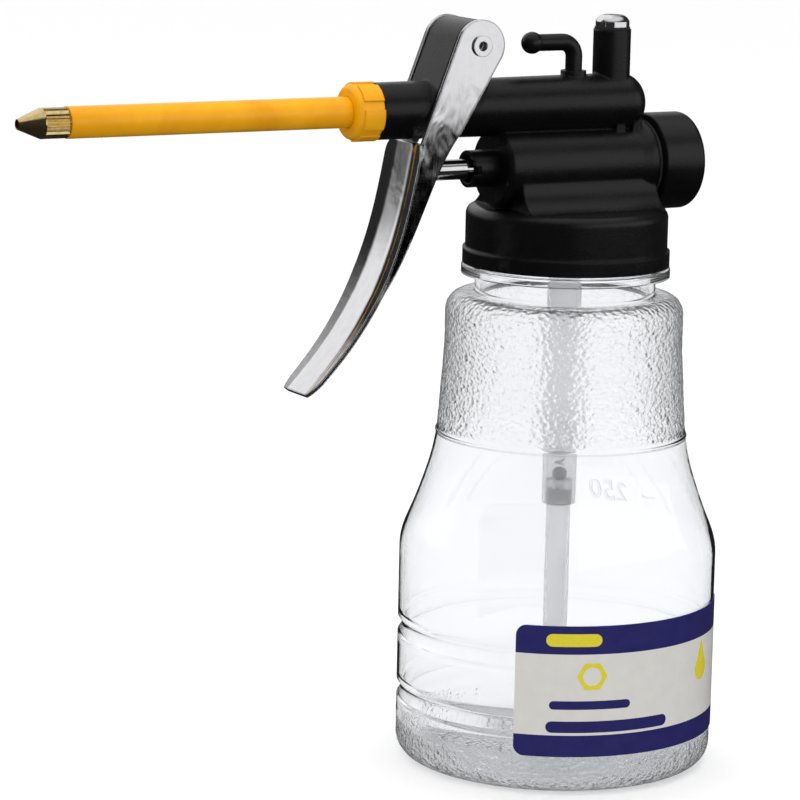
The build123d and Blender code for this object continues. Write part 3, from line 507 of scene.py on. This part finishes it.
# ------------------------------------------------------------------ shaping
def new_piece(name, shape, material, body):
    """An object from a bmesh, with its finish, riding on a body."""
    mesh = bpy.data.meshes.new(name)
    shape.to_mesh(mesh)
    shape.free()
    mesh.materials.append(material)
    piece = bpy.data.objects.new(name, mesh)
    bpy.context.scene.collection.objects.link(piece)
    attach(piece, body)
    return piece


def wall_outline(node_name):
    """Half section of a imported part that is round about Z, as (radius, height) points.

    It starts at the middle of the inside and ends at the middle of the outside.
    """
    cut = bmesh.new()
    cut.from_mesh(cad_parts[node_name].data)
    bmesh.ops.remove_doubles(cut, verts=cut.verts, dist=1e-7)
    for normal, drop_both in (((0, 1, 0), True), ((1, 0, 0), False)):
        bmesh.ops.bisect_plane(
            cut,
            geom=[*cut.verts, *cut.edges, *cut.faces],
            dist=1e-7,
            plane_co=(0, 0, 0),
            plane_no=normal,
            clear_inner=True,
            clear_outer=drop_both,
        )
    bmesh.ops.remove_doubles(cut, verts=cut.verts, dist=2e-6)
    ends = sorted((v for v in cut.verts if len(v.link_edges) == 1), key=lambda v: -v.co.z)
    if len(ends) != 2:
        raise RuntimeError(f"the section of {node_name} isn't one open line: it has {len(ends)} ends")
    vertex, came_by, points = ends[0], None, []
    while vertex is not None:
        points.append(Vector((vertex.co.x, vertex.co.z)))
        onward = [edge for edge in vertex.link_edges if edge is not came_by]
        came_by = onward[0] if onward else None
        vertex = came_by.other_vert(vertex) if came_by else None
    cut.free()
    return points


def resampled(points, spacing_at):
    """The same line with its long runs divided, by the spacing that a point asks for."""
    line = [points[0]]
    for start, end in zip(points, points[1:]):
        steps = max(1, math.ceil((end - start).length / spacing_at(start, end)))
        line += [start.lerp(end, step / steps) for step in range(1, steps + 1)]
    return line


def outward_at(line, index):
    """Unit normal of the outline at a point, away from the plastic."""
    before, after = line[max(index - 1, 0)], line[min(index + 1, len(line) - 1)]
    run = (after - before).normalized()
    return Vector((-run.y, run.x))


def eased(value, low, high):
    """Smooth step from 0 at low to 1 at high."""
    t = min(1.0, max(0.0, (value - low) / (high - low)))
    return t * t * (3 - 2 * t)


def mapped_print(name, outlines, surface, thickness, material, body):
    """Flat outlines in metres, bent on to a surface and given a thickness.

    An outline inside another is a hole.
    """
    shape = bmesh.new()
    for outline in outlines:
        corners = [shape.verts.new((x, y, 0)) for x, y in outline]
        for first, second in zip(corners, corners[1:] + corners[:1]):
            shape.edges.new((first, second))
    bmesh.ops.triangle_fill(shape, use_beauty=True, edges=shape.edges[:])
    for _ in range(5):
        long_edges = [edge for edge in shape.edges if edge.calc_length() > PRINT_EDGE]
        if not long_edges:
            break
        bmesh.ops.subdivide_edges(shape, edges=long_edges, cuts=1)
        bmesh.ops.triangulate(shape, faces=shape.faces[:])
    bmesh.ops.recalc_face_normals(shape, faces=shape.faces[:])
    flat = [(v, v.co.x, v.co.y) for v in shape.verts]
    raised = bmesh.ops.extrude_face_region(shape, geom=shape.faces[:])
    upper = {v for v in raised["geom"] if isinstance(v, bmesh.types.BMVert)}
    places = {v: (x, y) for v, x, y in flat}
    for vertex in shape.verts:
        x, y = (vertex.co.x, vertex.co.y) if vertex in upper else places[vertex]
        vertex.co = surface(x, y, thickness if vertex in upper else 0.0)
    bmesh.ops.recalc_face_normals(shape, faces=shape.faces[:])
    return new_piece(name, shape, material, body)


def round_outline(centre, radius, count):
    """Points of a circle or of a regular polygon."""
    turn = math.tau / count
    across, up = centre
    return [(across + radius * math.cos(turn * i), up + radius * math.sin(turn * i)) for i in range(count)]


def drop_outline(centre, radius, rise, count=40):
    """A drop of oil: a circle that draws up to a point."""
    points = []
    for step in range(count):
        turn = math.tau * step / count - math.pi / 2
        up = max(0.0, math.sin(turn))
        across = radius * math.cos(turn) * (1 - DROP_PINCH * up**1.5)
        points.append((centre[0] + across, centre[1] + radius * math.sin(turn) + rise * up**3))
    return points


def bar_outline(left, right, low, high):
    """A bar with rounded ends."""
    radius = (high - low) / 2
    middle = (low + high) / 2
    ends = []
    steps = 8
    for centre, start in ((right - radius, -90), (left + radius, 90)):
        for step in range(steps + 1):
            turn = math.radians(start + 180 * step / steps)
            ends.append((centre + radius * math.cos(turn), middle + radius * math.sin(turn)))
    return ends


def shortening_coil(name, node_name, material, joint, axis, travel):
    """A spring on the head, made from the imported part's mesh with smooth faces; it doesn't shorten when its
    joint moves.
    """
    shape = bmesh.new()
    shape.from_mesh(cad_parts[node_name].data)
    for face in shape.faces:
        face.smooth = True
    coil = new_piece(name, shape, material, "head")
    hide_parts(node_name)
    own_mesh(coil)


# ------------------------------------------------------------------ pieces
class OILER_OT_bottle(Operator):
    """Builds the blown bottle with its pebbled skin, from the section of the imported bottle"""

    bl_idname = "oiler.bottle"
    bl_label = "Bottle"

    def execute(self, context):
        settings = context.scene.oiler_bottle
        outline = wall_outline("bottle")
        rim = max(range(len(outline)), key=lambda i: outline[i].y)
        inside = resampled(outline[: rim + 1], lambda a, b: settings.inside_spacing)
        outside = resampled(outline[rim:], lambda a, b: settings.row_spacing)
        line = inside + outside[1:]
        axis_gap = 1e-5  # a point nearer to the axis than this is the middle, not a row
        rows = [i for i in range(len(line)) if line[i].x > axis_gap]
        shape = bmesh.new()
        rings = []
        for i in rows:
            out = outward_at(line, i)
            radius, height = line[i]
            upper = eased(height, settings.stipple_low, settings.stipple_low + 0.0015)
            upper *= 1 - eased(height, settings.stipple_high, settings.stipple_high + 0.0015)
            foot_end = settings.foot_stipple_high
            foot = eased(height, 0.0012, 0.0025) * (1 - eased(height, foot_end - FOOT_FADE, foot_end))
            swell = settings.stipple_depth * (upper + foot) * (i >= len(inside)) * (radius > PEBBLED_RADIUS)
            ring = []
            for column in range(settings.columns):
                turn = math.tau * column / settings.columns
                across = Vector((math.cos(turn), math.sin(turn), 0))
                spot = across * radius + Vector((0, 0, height))
                if swell:
                    grain = across * radius + Vector((0, 0, 1.5 * height))
                    wide = settings.stipple_width
                    rise = noise.noise(grain / wide) + 0.5 * noise.noise(grain / (0.55 * wide))
                    spot += (across * out.x + Vector((0, 0, out.y))) * (min(rise, 0.6) - 0.6) * swell
                ring.append(shape.verts.new(spot))
            rings.append(ring)
        middles = (shape.verts.new((0, 0, line[0].y)), shape.verts.new((0, 0, line[-1].y)))
        for column in range(settings.columns):
            after = (column + 1) % settings.columns
            shape.faces.new((middles[0], rings[0][after], rings[0][column]))
            shape.faces.new((middles[1], rings[-1][column], rings[-1][after]))
            for lower, higher in zip(rings, rings[1:]):
                shape.faces.new((lower[column], lower[after], higher[after], higher[column]))
        for face in shape.faces:
            face.smooth = True
        bmesh.ops.recalc_face_normals(shape, faces=shape.faces[:])
        plastic = clear_plastic("clear_bottle_plastic", settings, True)
        bottle = new_piece("bottle_shell", shape, plastic, "bottle_body")
        bottle.visible_shadow = False
        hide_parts("bottle")
        return {"FINISHED"}


class OILER_OT_graduation(Operator):
    """Raises the graduation's number and its dash on the bottle's back"""

    bl_idname = "oiler.graduation"
    bl_label = "Graduation"

    def execute(self, context):
        settings = context.scene.oiler_bottle
        outline = wall_outline("bottle")
        rim = max(range(len(outline)), key=lambda i: outline[i].y)
        outside = outline[rim:]

        def radius_at(height):
            for above, below in zip(outside, outside[1:]):
                if below.y <= height <= above.y and above.y - below.y > 1e-6:
                    return below.x + (above.x - below.x) * (height - below.y) / (above.y - below.y)
            raise RuntimeError(f"the bottle has no wall at height {height}")

        def on_wall(x, y, lift):
            height = settings.digit_low + y
            radius = radius_at(height) + lift - DIGIT_ROOT
            turn = settings.digit_angle + x / radius
            return Vector((radius * math.sin(turn), -radius * math.cos(turn), height))

        lettering = bpy.data.curves.new("graduation_number", "FONT")
        lettering.body = "250"
        lettering.size = settings.digit_height * LETTER_SCALE
        lettering.align_x = "CENTER"
        lettering.align_y = "CENTER"
        carrier = bpy.data.objects.new("graduation_number", lettering)
        context.scene.collection.objects.link(carrier)
        context.view_layer.update()
        flat = bpy.data.meshes.new_from_object(carrier.evaluated_get(context.evaluated_depsgraph_get()))
        bpy.data.objects.remove(carrier)
        shape = bmesh.new()
        shape.from_mesh(flat)
        bar = bar_outline(DASH_PLACE - DASH_HALF, DASH_PLACE + DASH_HALF, -DASH_RISE, DASH_RISE)
        dash = [shape.verts.new((x, y, 0)) for x, y in bar]
        shape.faces.new(dash)
        bmesh.ops.triangulate(shape, faces=shape.faces[:])
        bmesh.ops.remove_doubles(shape, verts=shape.verts, dist=1e-6)
        upper = bmesh.ops.extrude_face_region(shape, geom=shape.faces[:])["geom"]
        raised = {v for v in upper if isinstance(v, bmesh.types.BMVert)}
        for vertex in shape.verts:
            vertex.co = on_wall(vertex.co.x, vertex.co.y, DIGIT_DEPTH if vertex in raised else 0.0)
        bmesh.ops.recalc_face_normals(shape, faces=shape.faces[:])
        material = clear_plastic("clear_raised_plastic", settings, False)
        new_piece("graduation", shape, material, "bottle_body")
        return {"FINISHED"}


class OILER_OT_label(Operator):
    """Prints the label: two dark bands, a pale panel and plain bright marks"""

    bl_idname = "oiler.label"
    bl_label = "Label"

    def execute(self, context):
        settings = context.scene.oiler_label
        finish_nodes(printed_film("label_film", settings), "bottle_label")
        radius = -LABEL_LOW.y
        start = math.asin(LABEL_LOW.x / radius)
        end = math.asin(LABEL_HIGH.x / radius)
        wide, tall = (end - start) * radius, LABEL_HIGH.z - LABEL_LOW.z

        def on_label(x, y, lift):
            turn = start + (x + wide / 2) / radius
            out = radius + PRINT_GAP + lift
            return Vector((out * math.sin(turn), -out * math.cos(turn), LABEL_LOW.z + tall / 2 + y))

        bright = ink("label_bright_ink", settings.accent_colour)
        dark = ink("label_dark_ink", settings.band_colour)
        top_middle = tall / 2 - settings.top_band * tall / 2
        top_bar = bar_outline(-0.40 * wide, -0.215 * wide, top_middle - 0.0015, top_middle + 0.0015)
        nut = (-0.245 * wide, 0.0036)
        marks = (
            ("label_top_bar", [top_bar], bright),
            ("label_nut", [round_outline(nut, 0.0036, 6), round_outline(nut, 0.0022, 32)], bright),
            ("label_drop", [drop_outline((0.24 * wide, 0.0016), 0.0031, 0.0034)], bright),
            ("label_rule_upper", [bar_outline(-0.385 * wide, -0.11 * wide, -0.0042, -0.0022)], dark),
            ("label_rule_lower", [bar_outline(-0.395 * wide, 0.04 * wide, -0.0097, -0.0070)], dark),
        )
        for name, outlines, material in marks:
            mapped_print(name, outlines, on_label, settings.ink_thickness, material, "bottle_body")
        return {"FINISHED"}


class OILER_OT_inside(Operator):
    """Finishes the tubes, the foot valve, the springs and the seals"""

    bl_idname = "oiler.inside"
    bl_label = "Tubes, valves and seals"

    def execute(self, context):
        settings = context.scene.oiler_bottle
        metal = context.scene.oiler_metal
        tube = milky_plastic("milky_tube", settings)
        finish_nodes(tube, "valve_tube", "suction_tube", "foot_valve_seat", "spring_stop")
        seal = rubber("seal_rubber", context.scene.oiler_plastic)
        finish_nodes(seal, "rod_wiper", "piston_ring", "rear_cap_ring", "shutoff_ring")
        finish_nodes(seal, "nozzle_gasket", "neck_gasket", "screw_washer")
        wire = drawn_steel("spring_wire", metal)
        for coil in (
            ("return_coil", "return_spring", wire, "plunger_slide", (1, 0, 0), metal.return_travel),
            ("foot_coil", "foot_spring", wire, "foot_ball_lift", (0, 0, 1), metal.foot_travel),
            ("outlet_coil", "outlet_spring", wire, "outlet_ball_lift", (0, 0, 1), metal.outlet_travel),
        ):
            shortening_coil(*coil)
        finish_nodes(wire, "outlet_ball", "piston_nut")
        finish_nodes(drawn_steel("ball_steel", metal, 0.25), "foot_ball")
        finish_nodes(white_moulding("piston_plastic"), "piston")
        return {"FINISHED"}


class OILER_OT_head(Operator):
    """Finishes the black moulded head, gland, rear cap and shut-off handle"""

    bl_idname = "oiler.head"
    bl_label = "Pump head"

    def execute(self, context):
        settings = context.scene.oiler_plastic
        black, edge = settings.black, settings.edge_radius
        head = satin_moulding("head_moulding", black, settings, 0.27, settings.blend_radius, 0.32)
        cap = satin_moulding("cap_moulding", black, settings, 0.29, edge, 0.34)
        handle = satin_moulding("handle_moulding", black, settings, 0.30, edge, 0.36)
        finish_nodes(head, "pump_head")
        finish_nodes(cap, "rear_cap", "rod_gland")
        finish_nodes(handle, "shutoff_handle")
        return {"FINISHED"}


class OILER_OT_nozzle(Operator):
    """Finishes the bright nozzle, its collar and the turned tip"""

    bl_idname = "oiler.nozzle"
    bl_label = "Nozzle and tip"

    def execute(self, context):
        settings = context.scene.oiler_plastic
        edge = settings.edge_radius
        nozzle = satin_moulding("nozzle_moulding", settings.yellow, settings, 0.30, edge, 0.30, 0.12)
        finish_nodes(nozzle, "nozzle_tube", "nozzle_collar")
        finish_nodes(turned_brass("tip_brass", context.scene.oiler_metal), "brass_tip")
        return {"FINISHED"}


class OILER_OT_metal(Operator):
    """Plates the lever, its pin, the plunger rod and the valve screw"""

    bl_idname = "oiler.metal"
    bl_label = "Lever and bright metal"

    def execute(self, context):
        settings = context.scene.oiler_metal
        stretch = (1.0, 0.55, 0.45)
        lever = bright_plate("lever_plate", settings, 1.0, settings.bend_radius, stretch, settings.crown)
        small = bright_plate("small_plate", settings, 0.15, settings.edge_radius)
        finish_nodes(lever, "lever")
        finish_nodes(small, "pivot_pin", "plunger_rod", "valve_screw")
        return {"FINISHED"}


class OILER_OT_stage(Operator):
    """Lays the floor, sets the lights and places the camera"""

    bl_idname = "oiler.stage"
    bl_label = "Stage"

    def execute(self, context):
        settings = context.scene.oiler_stage
        half = settings.floor_size / 2
        sheet = bmesh.new()
        corners = ((-half, -half), (half, -half), (half, half), (-half, half))
        sheet.faces.new([sheet.verts.new((x, y, -FLOOR_DROP)) for x, y in corners])
        mesh = bpy.data.meshes.new("floor")
        sheet.to_mesh(mesh)
        sheet.free()
        mesh.materials.append(plain_floor("floor_paper", settings))
        floor = bpy.data.objects.new("floor", mesh)
        context.scene.collection.objects.link(floor)
        floor.visible_glossy = False
        floor.visible_diffuse = False
        self.surround(context, settings)
        self.soft_card(context, settings)
        for name, place, wide, tall, power in (
            ("key_light", (-0.50, -0.80, 0.85), 0.50, 0.50, settings.key_power),
            ("top_light", (0.05, 0.05, 0.95), 0.70, 0.50, settings.top_power),
        ):
            lamp = bpy.data.lights.new(name, "AREA")
            lamp.shape = "RECTANGLE"
            lamp.size, lamp.size_y, lamp.energy = wide, tall, power
            light = bpy.data.objects.new(name, lamp)
            light.location = place
            towards = Vector(place) - Vector(AIMED_AT)
            light.rotation_euler = towards.to_track_quat("Z", "Y").to_euler()
            light.visible_glossy = False
            light.visible_transmission = False
            context.scene.collection.objects.link(light)
        self.aim_camera(context, settings)
        context.scene.view_settings.view_transform = "Standard"
        return {"FINISHED"}

    def surround(self, context, settings):
        """A pale surround; gloss mirrors a darker one with a soft light overhead and one behind."""
        world = bpy.data.worlds.new("surround")
        world.use_nodes = True
        context.scene.world = world
        nodes, links = world.node_tree.nodes, world.node_tree.links
        pale = next(n for n in nodes if n.type == "BACKGROUND")
        output = next(n for n in nodes if n.type == "OUTPUT_WORLD")

        def sum_of(operation, first, second):
            node = nodes.new("ShaderNodeMath")
            node.operation = operation
            for socket, value in zip(node.inputs, (first, second)):
                if isinstance(value, bpy.types.NodeSocket):
                    links.new(value, socket)
                else:
                    socket.default_value = value
            return node.outputs[0]

        def step(value, low, high, to_low=0.0, to_high=1.0):
            node = nodes.new("ShaderNodeMapRange")
            node.interpolation_type = "SMOOTHSTEP"
            links.new(value, node.inputs["Value"])
            limits = {"From Min": low, "From Max": high, "To Min": to_low, "To Max": to_high}
            for name, number in limits.items():
                node.inputs[name].default_value = number
            return node.outputs["Result"]

        parts = nodes.new("ShaderNodeSeparateXYZ")
        links.new(nodes.new("ShaderNodeTexCoord").outputs["Generated"], parts.inputs["Vector"])
        across, depth, rise = parts.outputs
        bearing = sum_of("ARCTAN2", across, depth)
        behind = sum_of("MULTIPLY", step(bearing, -1.15, -0.80), step(bearing, 0.45, 0.80, 1.0, 0.0))
        back_light = sum_of("MULTIPLY", behind, step(rise, 0.02, 0.25, 0.0, 0.95))
        over = step(rise, 0.60, 0.85, 0.0, 0.75)
        gloss = nodes.new("ShaderNodeBackground")
        links.new(sum_of("ADD", sum_of("MAXIMUM", back_light, over), 0.025), gloss.inputs["Color"])
        pale.inputs["Strength"].default_value = settings.sky
        links.new(step(rise, -0.25, 0.02, 0.45, 1.0), pale.inputs["Color"])
        plain = nodes.new("ShaderNodeBackground")
        plain.inputs["Color"].default_value = (1.0, 1.0, 1.0, 1.0)
        path = nodes.new("ShaderNodeLightPath")
        chosen = pale.outputs[0]
        seen = {"Is Glossy Ray": gloss, "Is Camera Ray": plain, "Is Transmission Ray": plain}
        for ray, instead in seen.items():
            choice = nodes.new("ShaderNodeMixShader")
            links.new(path.outputs[ray], choice.inputs[0])
            links.new(chosen, choice.inputs[1])
            links.new(instead.outputs[0], choice.inputs[2])
            chosen = choice.outputs[0]
        links.new(chosen, output.inputs["Surface"])

    def soft_card(self, context, settings):
        """A soft light in front, seen only in gloss, which fades out towards its lower edge."""
        material = bpy.data.materials.new("soft_card_glow")
        material.use_nodes = True
        nodes, links = material.node_tree.nodes, material.node_tree.links
        nodes.clear()
        height = nodes.new("ShaderNodeSeparateXYZ")
        links.new(nodes.new("ShaderNodeTexCoord").outputs["Object"], height.inputs["Vector"])
        fade = nodes.new("ShaderNodeMapRange")
        fade.interpolation_type = "SMOOTHSTEP"
        links.new(height.outputs["Z"], fade.inputs["Value"])
        fade.inputs["From Min"].default_value = settings.card_low
        fade.inputs["From Max"].default_value = settings.card_full
        glow = nodes.new("ShaderNodeEmission")
        links.new(fade.outputs["Result"], glow.inputs["Color"])
        glow.inputs["Strength"].default_value = settings.card_glow
        output = nodes.new("ShaderNodeOutputMaterial")
        links.new(glow.outputs[0], output.inputs["Surface"])
        sheet = bmesh.new()
        corners = [(*CARD_LEFT, CARD_BOTTOM), (*CARD_RIGHT, CARD_BOTTOM)]
        corners += [(*CARD_RIGHT, CARD_TOP), (*CARD_LEFT, CARD_TOP)]
        sheet.faces.new([sheet.verts.new(corner) for corner in corners])
        mesh = bpy.data.meshes.new("soft_card")
        sheet.to_mesh(mesh)
        sheet.free()
        mesh.materials.append(material)
        card = bpy.data.objects.new("soft_card", mesh)
        context.scene.collection.objects.link(card)
        for ray in ("camera", "diffuse", "transmission", "volume_scatter", "shadow"):
            setattr(card, f"visible_{ray}", False)

    def aim_camera(self, context, settings):
        """The camera stands at its distance and angles from the point it looks at."""
        turn, rise, roll = settings.azimuth, settings.elevation, settings.roll
        back = Vector((math.sin(turn) * math.cos(rise), -math.cos(turn) * math.cos(rise), math.sin(rise)))
        right = Vector((math.cos(turn), math.sin(turn), 0))
        up = back.cross(right)
        rolled_right = math.cos(roll) * right + math.sin(roll) * up
        rolled_up = math.cos(roll) * up - math.sin(roll) * right
        place = Vector(settings.look_at) + settings.distance * back
        lens = bpy.data.cameras.new("camera")
        lens.sensor_width = 36.0
        lens.lens = settings.lens
        camera = bpy.data.objects.new("camera", lens)
        context.scene.collection.objects.link(camera)
        turned = Matrix((rolled_right, rolled_up, back)).transposed().to_4x4()
        camera.matrix_world = Matrix.Translation(place) @ turned
        context.scene.camera = camera


class OILER_PT_panel(Panel):
    """Lists the pieces and their settings"""

    bl_idname = "OILER_PT_panel"
    bl_label = "Trigger Oiler"
    bl_space_type = "VIEW_3D"
    bl_region_type = "UI"
    bl_category = "Oiler"

    def draw(self, context):
        for group, operators in PANEL_ORDER:
            box = self.layout.box()
            for name in getattr(context.scene, group).bl_rna.properties.keys():
                if name not in ("rna_type", "name"):
                    box.prop(getattr(context.scene, group), name)
            for operator in operators:
                box.operator(operator.bl_idname)


PANEL_ORDER = (
    ("oiler_bottle", (OILER_OT_bottle, OILER_OT_graduation, OILER_OT_inside)),
    ("oiler_label", (OILER_OT_label,)),
    ("oiler_plastic", (OILER_OT_head, OILER_OT_nozzle)),
    ("oiler_metal", (OILER_OT_metal,)),
    ("oiler_stage", (OILER_OT_stage,)),
)
SETTINGS = {
    "oiler_bottle": OilerBottleSettings,
    "oiler_label": OilerLabelSettings,
    "oiler_plastic": OilerPlasticSettings,
    "oiler_metal": OilerMetalSettings,
    "oiler_stage": OilerStageSettings,
}
CLASSES = (*SETTINGS.values(), *(operator for _, group in PANEL_ORDER for operator in group), OILER_PT_panel)


def register():
    for each in CLASSES:
        bpy.utils.register_class(each)
    for name, kind in SETTINGS.items():
        setattr(bpy.types.Scene, name, PointerProperty(type=kind))


def unregister():
    for name in SETTINGS:
        delattr(bpy.types.Scene, name)
    for each in reversed(CLASSES):
        bpy.utils.unregister_class(each)


def main():
    register()
    bpy.ops.oiler.bottle()
    bpy.ops.oiler.graduation()
    bpy.ops.oiler.label()
    bpy.ops.oiler.inside()
    bpy.ops.oiler.head()
    bpy.ops.oiler.nozzle()
    bpy.ops.oiler.metal()
    bpy.ops.oiler.stage()


if __name__ == "__main__":
    main()
